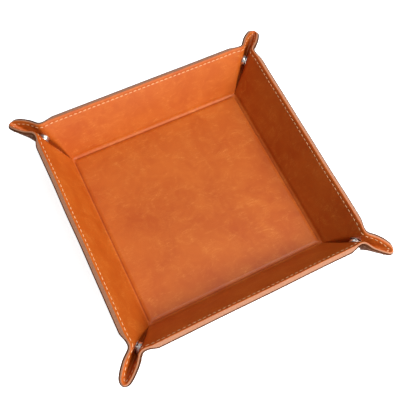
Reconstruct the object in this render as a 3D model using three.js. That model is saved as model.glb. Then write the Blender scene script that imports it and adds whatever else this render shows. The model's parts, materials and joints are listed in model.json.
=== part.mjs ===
// A folding dice tray: one square of leather, stiffened by a floor board and four wall boards,
// whose corners fold into open ears that a snap fastener holds shut.
// Millimetres, +Z up, origin under the middle of the floor. The tray stands snapped up, ready to use.
import * as THREE from "three";

// ---- driving dimensions ----------------------------------------------------------------------
const SHEET = 230; // side of the leather square when the tray lies open
const FLOOR = 148; // side of the square floor between the creases
const CORNER_RADIUS = 8; // rounding of the four corners of the leather square
const WALL_LEAN = 63; // degrees between a raised wall and the floor
const LEATHER = 1.3; // thickness of the lining and of the backing
const BOARD = 1.2; // thickness of the stiffening boards
const GLUE_GAP = 0.3; // clearance kept between the layers
const CREASE_GAP = 0.2; // clearance on each side of a crease
const PLEAT_GAP = 0.3; // clearance on each side of the line where two half pleats meet
const BOARD_INSET = 1.5; // the boards stop this far short of the creases

// The leather round each floor corner is a cone with its tip at the corner. Directions on it are
// angles round that tip, in degrees, from the floor crease (0) to the diagonal of the sheet (135).
const EAR_BEND = { centre: 107, spread: 11 }; // the wall turns outwards into the ear
const PLEAT_BEND = { centre: 131, spread: 4 }; // the ear turns under into the pleat
const DIAGONAL = 135;
const EAR_START = 8; // the ear's own solids start this far from the cone's tip
const PLEAT_START = 20; // and the narrow pleat starts here

// Snap fasteners, one pair in each corner
const SNAP_DISTANCE = 30; // from the cone's tip to the fastener's axis
const SNAP_DIRECTION = 118.5;
const SNAP_HOLE_RADIUS = 2.4;
const SHANK_RADIUS = 1.7;
const CAP_RADIUS = 4.3;
const CAP_HEIGHT = 1.1;
const SOCKET_RADIUS = 4.3;
const BALL_RADIUS = 1.9;
const RECESS_RADIUS = 2.6;
const FLANGE = 0.6; // thickness of the stud's and the post's flanges
const POST_HEAD = 0.9; // height of the post's head, with the riveted end of its shank
const SOCKET_LIP = 0.5; // the socket's body is this much narrower than its flange
const SOCKET_FLOOR = 0.72; // depth of the socket's recess floor under its flange's face
const STUD_NECK = 1.6;
const STUD_BORE = 1.4;
const STUD_WALL = 0.45;
const ENGAGEMENT = 0.9; // socket and ball each reach this far past the mitre plane
const ROUND_SIDES = 40;

// ---- values that follow ----------------------------------------------------------------------
const WALL = (SHEET - FLOOR) / 2;
const PACKET = 2 * LEATHER + BOARD + 2 * GLUE_GAP; // leather, board and leather
const EAR_PACKET = 2 * LEATHER + GLUE_GAP; // the ears hold no board
const LINING_TOP = PACKET; // height of the floor's upper face
const degrees = THREE.MathUtils.degToRad;

// ---- materials -------------------------------------------------------------------------------
const tanLeather = new THREE.MeshStandardMaterial({ color: 0xc4662b, roughness: 0.5, metalness: 0 });
const brownLeather = new THREE.MeshStandardMaterial({ color: 0x5a3322, roughness: 0.85, metalness: 0 });
const fibreBoard = new THREE.MeshStandardMaterial({ color: 0xc79b78, roughness: 0.9, metalness: 0 });
const nickel = new THREE.MeshStandardMaterial({ color: 0xb9bbbd, roughness: 0.25, metalness: 1 });

// ---- the cone of leather round a corner ------------------------------------------------------
// A smooth bend of unit total, spread to both sides of its centre.
function bendShare(direction, bend) {
  const x = (direction - bend.centre) / bend.spread;
  return Math.abs(x) < 1 ? (1 + Math.cos(Math.PI * x)) / (2 * degrees(bend.spread)) : 0;
}

// Walks the cone from the crease to the diagonal. `ray` is the direction from the tip, and
// `across` is square to it in the leather. Returns the frame at each direction asked for.
function walkCone(earTurn, pleatTurn, stops) {
  const steps = 540;
  const step = degrees(DIAGONAL / steps);
  const ray = new THREE.Vector3(-1, 0, 0);
  const across = new THREE.Vector3(0, Math.cos(degrees(WALL_LEAN)), Math.sin(degrees(WALL_LEAN)));
  const found = [];
  for (let i = 0; i < steps; i++) {
    const direction = ((i + 0.5) * DIAGONAL) / steps;
    const normal = new THREE.Vector3().crossVectors(ray, across);
    const bending = earTurn * bendShare(direction, EAR_BEND) - pleatTurn * bendShare(direction, PLEAT_BEND);
    ray.applyAxisAngle(normal, step);
    across.applyAxisAngle(normal, step);
    across.applyAxisAngle(ray, bending * step);
    const reached = ((i + 1) * DIAGONAL) / steps;
    if (stops.some((stop) => Math.abs(stop - reached) < 1e-6)) {
      found.push(turnFromFlat(ray, across, reached));
    }
  }
  return { found, ray, across };
}

// The rotation that carries the flat sheet, at one direction from the tip, to where it is folded.
function turnFromFlat(ray, across, direction) {
  const angle = degrees(direction);
  const flatRay = new THREE.Vector3(-Math.cos(angle), Math.sin(angle), 0);
  const flatAcross = new THREE.Vector3(Math.sin(angle), Math.cos(angle), 0);
  const flat = new THREE.Matrix4().makeBasis(flatRay, flatAcross, flatRay.clone().cross(flatAcross));
  const folded = new THREE.Matrix4().makeBasis(ray, across, ray.clone().cross(across));
  const turn = folded.multiply(flat.transpose());
  return new THREE.Quaternion().setFromRotationMatrix(turn);
}

// The two turns are such that the diagonal ends in the mitre plane and square to it. Newton's
// method finds them.
function closeCorner() {
  const miss = (turns) => {
    const { ray, across } = walkCone(turns[0], turns[1], []);
    return [ray.y - ray.x, across.z];
  };
  let turns = [degrees(50), degrees(90)];
  const nudge = 1e-5;
  for (let round = 0; round < 8; round++) {
    const here = miss(turns);
    const byEar = miss([turns[0] + nudge, turns[1]]).map((value, i) => (value - here[i]) / nudge);
    const byPleat = miss([turns[0], turns[1] + nudge]).map((value, i) => (value - here[i]) / nudge);
    const scale = byEar[0] * byPleat[1] - byPleat[0] * byEar[1];
    turns = [
      turns[0] - (here[0] * byPleat[1] - byPleat[0] * here[1]) / scale,
      turns[1] - (byEar[0] * here[1] - here[0] * byEar[1]) / scale,
    ];
  }
  return turns;
}

const flatEar = 122; // a direction between the two bends, where the ear is a flat panel
const [earTurn, pleatTurn] = closeCorner();
const { found: cornerTurns } = walkCone(earTurn, pleatTurn, [flatEar, DIAGONAL]);
const wallTurn = new THREE.Quaternion().setFromAxisAngle(new THREE.Vector3(1, 0, 0), degrees(WALL_LEAN));
const earFromWall = wallTurn.clone().invert().multiply(cornerTurns[0]);
const pleatFromEar = cornerTurns[0].clone().invert().multiply(cornerTurns[1]);

// The same turn at the other end of a wall, as a mirror shows it.
function turnAtEnd(turn, end) {
  return new THREE.Quaternion(turn.x, end * turn.y, end * turn.z, turn.w);
}

// ---- outlines in the flat sheet --------------------------------------------------------------
// A point of the flat sheet, from a floor corner: distance and direction round the cone's tip.
function onSheet(distance, direction, end, tip = 0) {
  const angle = degrees(direction);
  return new THREE.Vector2(end * (tip - distance * Math.cos(angle)), distance * Math.sin(angle));
}

// Distance from the corner to the rim along one direction: the straight rim, then the rounded
// corner of the sheet.
function toRim(direction) {
  const angle = degrees(direction);
  const straight = WALL / Math.sin(angle);
  const arcCentre = new THREE.Vector2(WALL - CORNER_RADIUS, WALL - CORNER_RADIUS);
  if (-straight * Math.cos(angle) <= arcCentre.x) return straight;
  const along = -arcCentre.x * Math.cos(angle) + arcCentre.y * Math.sin(angle);
  return along + Math.sqrt(along * along - arcCentre.lengthSq() + CORNER_RADIUS * CORNER_RADIUS);
}

// A direction moved aside so that a straight cut keeps `gap` from a ray at that distance.
function aside(direction, gap, distance) {
  return direction + THREE.MathUtils.radToDeg(Math.asin(gap / distance));
}

// A sector of the corner between two rays, each with its own clearance, from a straight cut near
// the cone's tip out to the rim.
function sectorOutline(from, to, fromGap, toGap, start, end) {
  const low = aside(from, fromGap, toRim(from));
  const high = aside(to, -toGap, toRim(to));
  const steps = 10;
  const points = [onSheet(start, aside(from, fromGap, start), end)];
  for (let i = 0; i <= steps; i++) {
    const direction = low + ((high - low) * i) / steps;
    points.push(onSheet(toRim(direction), direction, end));
  }
  points.push(onSheet(start, aside(to, -toGap, start), end));
  return points;
}

// A wall: straight along the crease and the rim, with ends that run along the ear's bend.
function wallOutline(creaseGap, endGap, rimGap) {
  const tip = FLOOR / 2;
  const slope = 1 / Math.tan(degrees(180 - EAR_BEND.centre));
  const shift = endGap / Math.sin(degrees(180 - EAR_BEND.centre));
  const halfAt = (height) => tip + height * slope - shift;
  const top = WALL - rimGap;
  return [
    new THREE.Vector2(-halfAt(creaseGap), creaseGap),
    new THREE.Vector2(halfAt(creaseGap), creaseGap),
    new THREE.Vector2(halfAt(top), top),
    new THREE.Vector2(-halfAt(top), top),
  ];
}

function squareOutline(half) {
  return [
    new THREE.Vector2(-half, -half),
    new THREE.Vector2(half, -half),
    new THREE.Vector2(half, half),
    new THREE.Vector2(-half, half),
  ];
}

// ---- solids ----------------------------------------------------------------------------------
// One layer of the sheet: an outline with its upper face at depth `top` under the lining's face.
function layer(name, outline, top, thickness, material, hole = null) {
  const turnsLeft = !THREE.ShapeUtils.isClockWise(outline);
  const shape = new THREE.Shape(turnsLeft ? outline : outline.reverse());
  if (hole) {
    const rivet = new THREE.Path();
    rivet.absarc(hole.x, hole.y, SNAP_HOLE_RADIUS, 0, 2 * Math.PI, true);
    shape.holes.push(rivet);
  }
  const geometry = new THREE.ExtrudeGeometry(shape, {
    depth: thickness,
    bevelEnabled: false,
    curveSegments: ROUND_SIDES / 2,
  });
  geometry.translate(0, 0, -top - thickness);
  const mesh = new THREE.Mesh(geometry, material);
  mesh.name = name;
  return mesh;
}

// A turned piece: profile points [radius, height], turned round the local Z axis.
function turned(name, profile, material) {
  const points = profile.map(([radius, height]) => new THREE.Vector2(radius, height));
  const geometry = new THREE.LatheGeometry(points, ROUND_SIDES);
  geometry.rotateX(Math.PI / 2);
  const mesh = new THREE.Mesh(geometry, material);
  mesh.name = name;
  return mesh;
}

// The extra clearance that a layer needs where the leather bends towards its backing side.
function mitre(depth, turn) {
  return depth * Math.tan(turn / 2) + CREASE_GAP;
}

// Floor: three layers, the root of the tray
function makeFloor() {
  const floor = new THREE.Group();
  floor.position.z = LINING_TOP;
  const half = FLOOR / 2;
  floor.add(layer("floor_lining", squareOutline(half - CREASE_GAP), 0, LEATHER, tanLeather));
  floor.add(
    layer("floor_board", squareOutline(half - BOARD_INSET), LEATHER + GLUE_GAP, BOARD, fibreBoard),
  );
  floor.add(
    layer("floor_backing", squareOutline(half - CREASE_GAP), PACKET - LEATHER, LEATHER, brownLeather),
  );
  return floor;
}

// Wall: lining, board and backing, each cut back a little more than the one inside it
function makeWall(side) {
  const wall = new THREE.Group();
  wall.name = "wall_" + side;
  wall.position.set(0, FLOOR / 2, LINING_TOP);
  wall.quaternion.copy(wallTurn);
  const lining = wallOutline(CREASE_GAP, mitre(LEATHER, earTurn), 0);
  const boardDepth = LEATHER + GLUE_GAP + BOARD;
  const board = wallOutline(BOARD_INSET, mitre(boardDepth, earTurn), 0);
  const backing = wallOutline(CREASE_GAP, mitre(PACKET, earTurn), 0);
  wall.add(layer(wall.name + "_lining", lining, 0, LEATHER, tanLeather));
  wall.add(layer(wall.name + "_board", board, LEATHER + GLUE_GAP, BOARD, fibreBoard));
  wall.add(layer(wall.name + "_backing", backing, PACKET - LEATHER, LEATHER, brownLeather));
  return wall;
}

// Half an ear: the panel that leaves the wall and carries half of the fastener
function makeEar(name, end) {
  const ear = new THREE.Group();
  ear.name = name;
  ear.position.x = end * (FLOOR / 2);
  ear.quaternion.copy(turnAtEnd(earFromWall, end));
  const hole = onSheet(SNAP_DISTANCE, SNAP_DIRECTION, end);
  const outlineFor = (depth) =>
    sectorOutline(
      EAR_BEND.centre,
      PLEAT_BEND.centre,
      mitre(depth, earTurn),
      CREASE_GAP,
      EAR_START,
      end,
    );
  ear.add(layer(name + "_lining", outlineFor(LEATHER), 0, LEATHER, tanLeather, hole));
  ear.add(
    layer(name + "_backing", outlineFor(EAR_PACKET), LEATHER + GLUE_GAP, LEATHER, brownLeather, hole),
  );
  return ear;
}

// Half a pleat: the narrow strip under the ear, lining and backing glued together
function makePleat(name, end) {
  const pleat = new THREE.Group();
  pleat.name = name;
  pleat.quaternion.copy(turnAtEnd(pleatFromEar, end));
  const outline = sectorOutline(
    PLEAT_BEND.centre,
    DIAGONAL,
    CREASE_GAP,
    PLEAT_GAP,
    PLEAT_START,
    end,
  );
  pleat.add(layer(name + "_strip", outline, 0, EAR_PACKET, tanLeather));
  return pleat;
}

// ---- snap fasteners --------------------------------------------------------------------------
// Where the fastener's axis meets the ear, and how far that is from the mitre plane.
const mitreNormal = new THREE.Vector3(-1, 1, 0).normalize();
const snapFlat = onSheet(SNAP_DISTANCE, SNAP_DIRECTION, 1);
const snapOnEar = new THREE.Vector3(snapFlat.x, snapFlat.y, 0);
const snapReach = snapOnEar.clone().applyQuaternion(cornerTurns[0]).dot(mitreNormal);
const snapAxis = mitreNormal.clone().applyQuaternion(cornerTurns[0].clone().invert());
const snapTilt = Math.sqrt(1 - snapAxis.z * snapAxis.z) / Math.abs(snapAxis.z);

// A group whose local Z runs square to the mitre plane, out through the ear, with zero in that
// plane.
function snapSeat(end) {
  const seat = new THREE.Group();
  const axis = new THREE.Vector3(end * snapAxis.x, snapAxis.y, snapAxis.z);
  seat.position.set(end * snapOnEar.x, snapOnEar.y, 0).addScaledVector(axis, -snapReach);
  seat.quaternion.setFromUnitVectors(new THREE.Vector3(0, 0, 1), axis);
  return seat;
}

const innerSeat = snapReach - GLUE_GAP / 2 - snapTilt * SOCKET_RADIUS; // where a flange meets the lining
const outerSeat = snapReach + EAR_PACKET + GLUE_GAP / 2 + snapTilt * CAP_RADIUS;

// The outer cap with its shank through the leather, and the socket that the shank holds
function addSocketHalf(ear, corner, end) {
  const seat = snapSeat(end);
  const domeSteps = 6;
  const dome = [];
  for (let i = 0; i <= domeSteps; i++) {
    const swing = (Math.PI / 2) * (i / domeSteps);
    dome.push([CAP_RADIUS * Math.cos(swing), outerSeat + FLANGE + (CAP_HEIGHT - FLANGE) * Math.sin(swing)]);
  }
  dome[domeSteps][0] = 0;
  const shankEnd = innerSeat - FLANGE;
  seat.add(
    turned(
      "snap_" + corner + "_cap",
      [[0, shankEnd], [SHANK_RADIUS, shankEnd], [SHANK_RADIUS, outerSeat], [CAP_RADIUS, outerSeat], ...dome],
      nickel,
    ),
  );
  const bore = SHANK_RADIUS + CREASE_GAP;
  const body = SOCKET_RADIUS - SOCKET_LIP;
  const recess = innerSeat - SOCKET_FLOOR;
  seat.add(
    turned(
      "snap_" + corner + "_socket",
      [
        [RECESS_RADIUS, -ENGAGEMENT],
        [body, -ENGAGEMENT],
        [body, innerSeat - 2 * FLANGE],
        [SOCKET_RADIUS, innerSeat - FLANGE],
        [SOCKET_RADIUS, innerSeat],
        [bore, innerSeat],
        [bore, recess],
        [RECESS_RADIUS, recess],
        [RECESS_RADIUS, -ENGAGEMENT],
      ],
      nickel,
    ),
  );
  ear.add(seat);
}

// The stud whose ball clicks into the socket, and the post that holds it from outside
function addStudHalf(ear, corner, end) {
  const seat = snapSeat(end);
  seat.add(
    turned(
      "snap_" + corner + "_stud",
      [
        [STUD_BORE, -ENGAGEMENT],
        [BALL_RADIUS - STUD_WALL, -ENGAGEMENT],
        [BALL_RADIUS, -ENGAGEMENT / 3],
        [STUD_NECK, innerSeat - 2 * FLANGE],
        [STUD_NECK, innerSeat - FLANGE],
        [SOCKET_RADIUS, innerSeat - FLANGE / 2],
        [SOCKET_RADIUS, innerSeat],
        [STUD_BORE, innerSeat],
        [STUD_BORE, -ENGAGEMENT],
      ],
      nickel,
    ),
  );
  const shank = STUD_BORE - CREASE_GAP;
  seat.add(
    turned(
      "snap_" + corner + "_post",
      [
        [0, 0],
        [shank, 0],
        [shank, outerSeat],
        [CAP_RADIUS, outerSeat],
        [CAP_RADIUS, outerSeat + FLANGE],
        [shank, outerSeat + POST_HEAD],
        [0, outerSeat + POST_HEAD],
      ],
      nickel,
    ),
  );
  ear.add(seat);
}

// ---- the tray --------------------------------------------------------------------------------
// Each side is turned from the north one; its right-hand end comes first in `corners`.
const SIDES = [
  { side: "north", turn: 0, corners: ["ne", "nw"], fastener: addSocketHalf },
  { side: "east", turn: -90, corners: ["se", "ne"], fastener: addStudHalf },
  { side: "south", turn: 180, corners: ["sw", "se"], fastener: addSocketHalf },
  { side: "west", turn: 90, corners: ["nw", "sw"], fastener: addStudHalf },
];

const tray = new THREE.Group();
tray.add(makeFloor());
for (const { side, turn, corners, fastener } of SIDES) {
  const quarter = new THREE.Group();
  quarter.rotation.z = degrees(turn);
  const wall = makeWall(side);
  corners.forEach((corner, i) => {
    const end = i === 0 ? 1 : -1;
    const ear = makeEar("ear_" + corner + "_" + side, end);
    ear.add(makePleat("pleat_" + corner + "_" + side, end));
    fastener(ear, corner, end);
    wall.add(ear);
  });
  quarter.add(wall);
  tray.add(quarter);
}

export default tray;
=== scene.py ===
# %% [markdown]
# # A folding dice tray
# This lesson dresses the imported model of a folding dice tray. The real tray is one square of
# tan leather on a dark backing, with boards glued between the two. Its four corners are pinched
# into open ears, and a snap fastener holds each one. The frame gives the floor, the walls and
# their lean, and the pieces below are worked out from these and from a few sizes of their own.

import json
import math

import bmesh
import bpy
import numpy as np
from mathutils import Matrix, Vector


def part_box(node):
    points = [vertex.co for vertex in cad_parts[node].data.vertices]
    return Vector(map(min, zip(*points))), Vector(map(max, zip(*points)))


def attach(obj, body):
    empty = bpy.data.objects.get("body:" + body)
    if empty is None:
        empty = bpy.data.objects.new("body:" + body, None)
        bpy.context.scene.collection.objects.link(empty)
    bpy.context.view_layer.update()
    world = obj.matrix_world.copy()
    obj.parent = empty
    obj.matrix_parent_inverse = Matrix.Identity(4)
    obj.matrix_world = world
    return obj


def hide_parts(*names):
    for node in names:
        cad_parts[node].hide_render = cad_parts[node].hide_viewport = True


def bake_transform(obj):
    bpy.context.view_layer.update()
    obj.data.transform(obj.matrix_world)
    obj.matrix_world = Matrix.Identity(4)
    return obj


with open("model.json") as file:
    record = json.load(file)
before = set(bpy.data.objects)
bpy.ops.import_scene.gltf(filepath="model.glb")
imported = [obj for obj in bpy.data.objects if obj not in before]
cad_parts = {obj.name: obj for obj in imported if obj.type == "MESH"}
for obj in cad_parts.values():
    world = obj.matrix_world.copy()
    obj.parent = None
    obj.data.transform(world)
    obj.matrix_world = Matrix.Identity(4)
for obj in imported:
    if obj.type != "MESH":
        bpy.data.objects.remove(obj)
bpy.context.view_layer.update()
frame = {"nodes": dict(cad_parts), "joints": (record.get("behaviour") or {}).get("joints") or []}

# %% [markdown]
# ## Sizes
# Lengths in this lesson are in millimetres while a shape is being worked out, and a mesh is
# scaled to metres when it is made. The floor, the hinge height and the lean of the walls come
# from the hinge of the north wall, and the height of a wall comes from the box of its lining.

# %% Sizes from the frame
MM = 0.001
joints = {joint["name"]: joint for joint in frame["joints"]}
north_hinge = joints["wall_north_fold"]
HALF_FLOOR = north_hinge["pos_m"][1] / MM
LINING_TOP = north_hinge["pos_m"][2] / MM
LEAN = math.radians(north_hinge["range_deg"][1])
WALL = (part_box("wall_north_lining")[1].z / MM - LINING_TOP) / math.sin(LEAN)
HALF_SHEET = HALF_FLOOR + WALL
print(f"floor {2 * HALF_FLOOR:.1f} mm, wall {WALL:.1f} mm, sheet {2 * HALF_SHEET:.1f} mm")

# %% Thicknesses and edges
PACKET = LINING_TOP  # lining, board and backing together
EAR_PACKET = 2.9  # the ears hold no board
LINING = 1.6  # the tan leather alone
BACKING = 1.1  # the dark leather alone
CORNER_RADIUS = 8.0  # rounding of the sheet's corners
EDGE_ROUND = 0.35  # the rim's edges are burnished round
TIP_PINCH = 7.0  # the layers are squeezed thin this near to a floor corner
THINNEST = 0.03  # share of the full thickness that is left at the corner itself
BACK_FALL = 0.8  # the backing's edge is rounded a little less than the lining's

# %% [markdown]
# ## How the leather folds
# Leather bends but hardly stretches, so the sheet round each floor corner folds into a cone with
# its tip at that corner. A direction on the cone is an angle round the tip, from the floor
# crease at 0 degrees, through the wall, to the sheet's diagonal at 135. Between the wall and the
# diagonal there are two soft bends: one turns the wall outwards into the ear, and one turns the
# ear under into the pleat. Their strengths are not free. The diagonal has to end up in the plane
# that mirrors one side of the corner into the other, and square to it, or the two halves would
# not meet. Newton's method finds the two strengths that do this.

# %% The cone round a corner
EAR_BEND = (107.0, 11.0)  # centre and half width, in degrees round the tip
PLEAT_BEND = (131.0, 4.0)
DIAGONAL = 135.0
CONE_STEPS = 540  # from the crease to the diagonal


def bend_share(direction, bend):
    """A smooth bend of unit total, spread to both sides of its centre."""
    centre, spread = bend
    x = (direction - centre) / spread
    return (1 + math.cos(math.pi * x)) / (2 * math.radians(spread)) if abs(x) < 1 else 0.0


def turn(vector, axis, angle):
    """A vector turned round a unit axis."""
    c, s = math.cos(angle), math.sin(angle)
    return vector * c + np.cross(axis, vector) * s + axis * (axis @ vector) * (1 - c)


def walk_cone(ear_turn, pleat_turn):
    """The ray and the direction across it, at every step from the crease to the diagonal."""
    step = math.radians(DIAGONAL / CONE_STEPS)
    c, s = math.cos(step), math.sin(step)
    ray = np.array([-1.0, 0.0, 0.0])
    across = np.array([0.0, math.cos(LEAN), math.sin(LEAN)])
    rays, crossings = [ray], [across]
    for i in range(CONE_STEPS):
        direction = (i + 0.5) * DIAGONAL / CONE_STEPS
        bending = ear_turn * bend_share(direction, EAR_BEND)
        bending -= pleat_turn * bend_share(direction, PLEAT_BEND)
        ray, across = ray * c + across * s, across * c - ray * s
        across = turn(across, ray, bending * step)
        rays.append(ray)
        crossings.append(across)
    return np.array(rays), np.array(crossings)


def close_corner():
    """The two bends' turns, found by Newton's method."""

    def miss(turns):
        rays, crossings = walk_cone(*turns)
        return np.array([rays[-1][1] - rays[-1][0], crossings[-1][2]])

    turns = np.radians([50.0, 90.0])  # a first guess
    nudge = 1e-5
    for _ in range(5):
        here = miss(turns)
        slopes = np.column_stack([(miss(turns + nudge * one) - here) / nudge for one in np.eye(2)])
        turns = turns - np.linalg.solve(slopes, here)
    return turns


corner_turns = close_corner()
cone_rays, cone_crossings = walk_cone(*corner_turns)
cone_normals = np.cross(cone_crossings, cone_rays)  # towards the lining's face
print("the ear turns", np.degrees(corner_turns).round(2), "degrees out of the wall and under")


def on_cone(table, direction):
    """A row of a cone table at any direction in degrees, by interpolation."""
    steps = np.linspace(0, DIAGONAL, CONE_STEPS + 1)
    return np.column_stack([np.interp(direction, steps, table[:, i]) for i in range(3)])


# %% [markdown]
# ## From the flat sheet to the folded tray
# One function folds the sheet. It takes points of the flat sheet and depths under the lining's
# face, and gives the places of those points in the snapped-up tray. Every leather piece, every
# board and every stitch goes through it, so they all fit together. It also adds what makes the
# tray look used: a shallow channel along each crease, where there is no board, and a faint
# unevenness that the leather has everywhere.

# %% Small curves
ROLL = 1.6  # a crease bends within this distance of its line
CREASE_FADE = 5.0  # the marks of a crease run out this far before a corner
SHOULDER_DEPTH = 0.50
SHOULDER_FALL = (-4.4, 3.0)  # where the floor starts to fall to the crease, and over what width
SHOULDER_END = (-0.2, 2.8)  # the same for the rise on the wall's side
GROOVE_DEPTH = 0.55
GROOVE = (-1.3, 0.6)  # centre and width
SECOND_DEPTH = 0.22
SECOND_GROOVE = (2.0, 0.5)


def smooth(x):
    """0 below 0, 1 above 1, and a soft step between."""
    x = np.clip(x, 0, 1)
    return x * x * (3 - 2 * x)


def rise(x, start, width):
    """A soft step from 0 at the start to 1 a width further on."""
    return smooth((x - start) / width)


def bell(x, centre, width):
    return np.exp(-(((x - centre) / width) ** 2))


def unevenness(x, y):
    """A few long waves over the flat sheet, in millimetres."""
    return (
        0.10 * np.sin(x / 17.0 + 1.3) * np.cos(y / 23.0)
        + 0.08 * np.sin((x + y) / 12.0 + 0.4)
        + 0.07 * np.sin((x - 2 * y) / 15.0 + 2.1)
    )


def crease_dip(s):
    """The floor's shoulder falls into a groove, and a ridge and a fainter groove follow."""
    shoulder = SHOULDER_DEPTH * rise(s, *SHOULDER_FALL) * (1 - rise(s, *SHOULDER_END))
    return shoulder + GROOVE_DEPTH * bell(s, *GROOVE) + SECOND_DEPTH * bell(s, *SECOND_GROOVE)


def crease_roll(s):
    """Sideways and upward shift that rounds the crease, and the leather's tilt there."""
    t = np.clip((s + ROLL) / (2 * ROLL), 0, 1)
    sideways = ROLL * (math.cos(LEAN) * t * t - (1 - t) ** 2)
    upward = ROLL * math.sin(LEAN) * t * t
    sharp_side = np.where(s > 0, s * math.cos(LEAN), s)
    sharp_up = np.where(s > 0, s * math.sin(LEAN), 0)
    inside = np.abs(s) < ROLL
    tilt = np.arctan2(t * math.sin(LEAN), (1 - t) + t * math.cos(LEAN))
    return np.where(inside, sideways - sharp_side, 0), np.where(inside, upward - sharp_up, 0), tilt


# %% [markdown]
# ## Relaxing the ears
# A perfect cone is a little too stiff for a real ear. The snap pulls the two halves together,
# beyond it they lie against each other low down while the lips stay open, the keel under the ear
# rises a little, and the tip hangs. The next function moves the cone's points this way. It works
# in the corner's own axes: out along the diagonal, aside from the mirror plane, and up. Each
# place below is a distance out along the diagonal, with a length or a width.

# %% Relax the ears
EAR_START = (97.0, 15.0)  # the ear relaxes over these degrees: the first, and how many
LIP_HEIGHT = 14.0  # from the keel up to the lips
SNAP_PLACE = (21.0, 8.0)  # where the snap pinches
PINCH = 0.46  # share of the gap that the snap takes away
SLIT_PLACE = (22.0, 9.0)  # where the halves come together beyond the snap
SLIT = 0.55  # share that the folded leather takes away low down
LIPS = 0.06  # share that the lips close there
MOUTH_PLACE = (34.0, 11.0)
TIP_OPEN = 0.40  # share that the lips open again towards the tip
KEEL_PLACE = (26.0, 13.0)
KEEL_RISE = 3.2
TIP_PLACE = (24.0, 20.0)
TIP_DROOP = 1.2
TIP_REACH = 0.6
KEEL_ANGLE = math.asin(cone_rays[-1][2])


def relax_ear(points, direction):
    """Moves points of the north-east corner's cone, given from its tip."""
    share = rise(direction, *EAR_START)
    out = (points[:, 0] + points[:, 1]) / math.sqrt(2)
    aside = (points[:, 1] - points[:, 0]) / math.sqrt(2)
    up = points[:, 2]
    height = smooth((up - out * math.tan(KEEL_ANGLE)) / LIP_HEIGHT)  # 0 on the keel, 1 on the lips
    closed = PINCH * bell(out, *SNAP_PLACE)
    closed += rise(out, *SLIT_PLACE) * (SLIT * (1 - height) + LIPS * height)
    closed -= TIP_OPEN * rise(out, *MOUTH_PLACE) * height
    aside = aside * (1 - share * closed)
    up = up + share * KEEL_RISE * bell(out, *KEEL_PLACE) * (1 - height)
    far = share * rise(out, *TIP_PLACE)
    up, out = up - far * TIP_DROOP, out + far * TIP_REACH
    return np.column_stack([(out - aside) / math.sqrt(2), (out + aside) / math.sqrt(2), up])


print("the keel rises at", round(math.degrees(KEEL_ANGLE), 1), "degrees")

# %% [markdown]
# ## Folding
# The sheet is folded one side at a time, as if that side were the north one, and the result is
# then turned to its own side. Near a corner, the floor shares the marks of two creases.


# %% Fold the sheet
WAVE_START = 12.0  # the unevenness fades in over this height of the wall


def sheet_turn(side):
    """Radians from the north side to another one."""
    return {"north": 0.0, "east": -math.pi / 2, "south": math.pi, "west": math.pi / 2}[side]


def turn_flat(points, angle):
    c, s = math.cos(angle), math.sin(angle)
    return np.column_stack([points[:, 0] * c - points[:, 1] * s, points[:, 0] * s + points[:, 1] * c])


def pinch(points):
    """Share of the full thickness: the layers thin out towards a floor corner."""
    to_corner = np.hypot(np.abs(points[:, 0]) - HALF_FLOOR, np.abs(points[:, 1]) - HALF_FLOOR)
    return THINNEST + (1 - THINNEST) * smooth(to_corner / TIP_PINCH)


def fold(points, depth, side):
    """Folds points (x along the side, y out from the sheet's middle) at a depth, in millimetres.
    Returns their places and the lining's normals."""
    x, s = points[:, 0], points[:, 1] - HALF_FLOOR
    end = np.where(x < 0, -1.0, 1.0)
    past = np.abs(x) - HALF_FLOOR  # beyond the floor's end
    fade = smooth(-past / CREASE_FADE)
    shift_side, shift_up, tilt = crease_roll(s)
    out = HALF_FLOOR + np.where(s > 0, s * math.cos(LEAN), s)
    place = np.column_stack([x, out, np.where(s > 0, s, 0.0) * math.sin(LEAN)])
    normal = np.column_stack([0 * x, -np.sin(tilt), np.cos(tilt)])
    place[:, 1] += fade * shift_side
    place[:, 2] += fade * shift_up
    place -= (fade * crease_dip(s))[:, None] * normal
    # the channel of the next side's crease, which the floor shares near a corner
    other_side, other_up, other_tilt = crease_roll(past)
    other_fade = np.where(s < 0, smooth(-s / CREASE_FADE), 0)
    place[:, 0] += end * other_fade * other_side
    place[:, 2] += other_fade * other_up
    other_normal = np.column_stack([-end * np.sin(other_tilt), 0 * x, np.cos(other_tilt)])
    place -= (other_fade * crease_dip(past))[:, None] * other_normal
    # the cone beyond the floor's ends
    ear = past > 0
    distance = np.hypot(past, s)
    direction = np.degrees(np.arctan2(s, -past))
    mirror = np.column_stack([end, np.ones_like(end), np.ones_like(end)])
    tip = np.column_stack([HALF_FLOOR * end, np.full_like(x, HALF_FLOOR), 0 * x])
    cone_place = tip + relax_ear(distance[:, None] * on_cone(cone_rays, direction), direction) * mirror
    place = np.where(ear[:, None], cone_place, place)
    normal = np.where(ear[:, None], on_cone(cone_normals, direction) * mirror, normal)
    normal /= np.linalg.norm(normal, axis=1)[:, None]
    # everyday unevenness, and none where the floor has to stay flat on the table
    angle = sheet_turn(side)
    lift = unevenness(*turn_flat(points, angle).T) * smooth(s / WAVE_START)
    place += (lift - depth)[:, None] * normal
    place[:, 2] += LINING_TOP
    place[:, :2] = turn_flat(place[:, :2], angle)
    normal[:, :2] = turn_flat(normal[:, :2], angle)
    return place, normal


# %% [markdown]
# ## Meshes for the layers
# Each leather layer is a closed shell with its real thickness. Its points lie on a grid in the
# flat sheet: columns run across a strip, and rows run from the inner edge to the rim. The rows
# crowd together at the creases, at the stitch line and at the rounded rim, where the shape
# changes fast, and lie far apart where the leather is plain.

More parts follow.
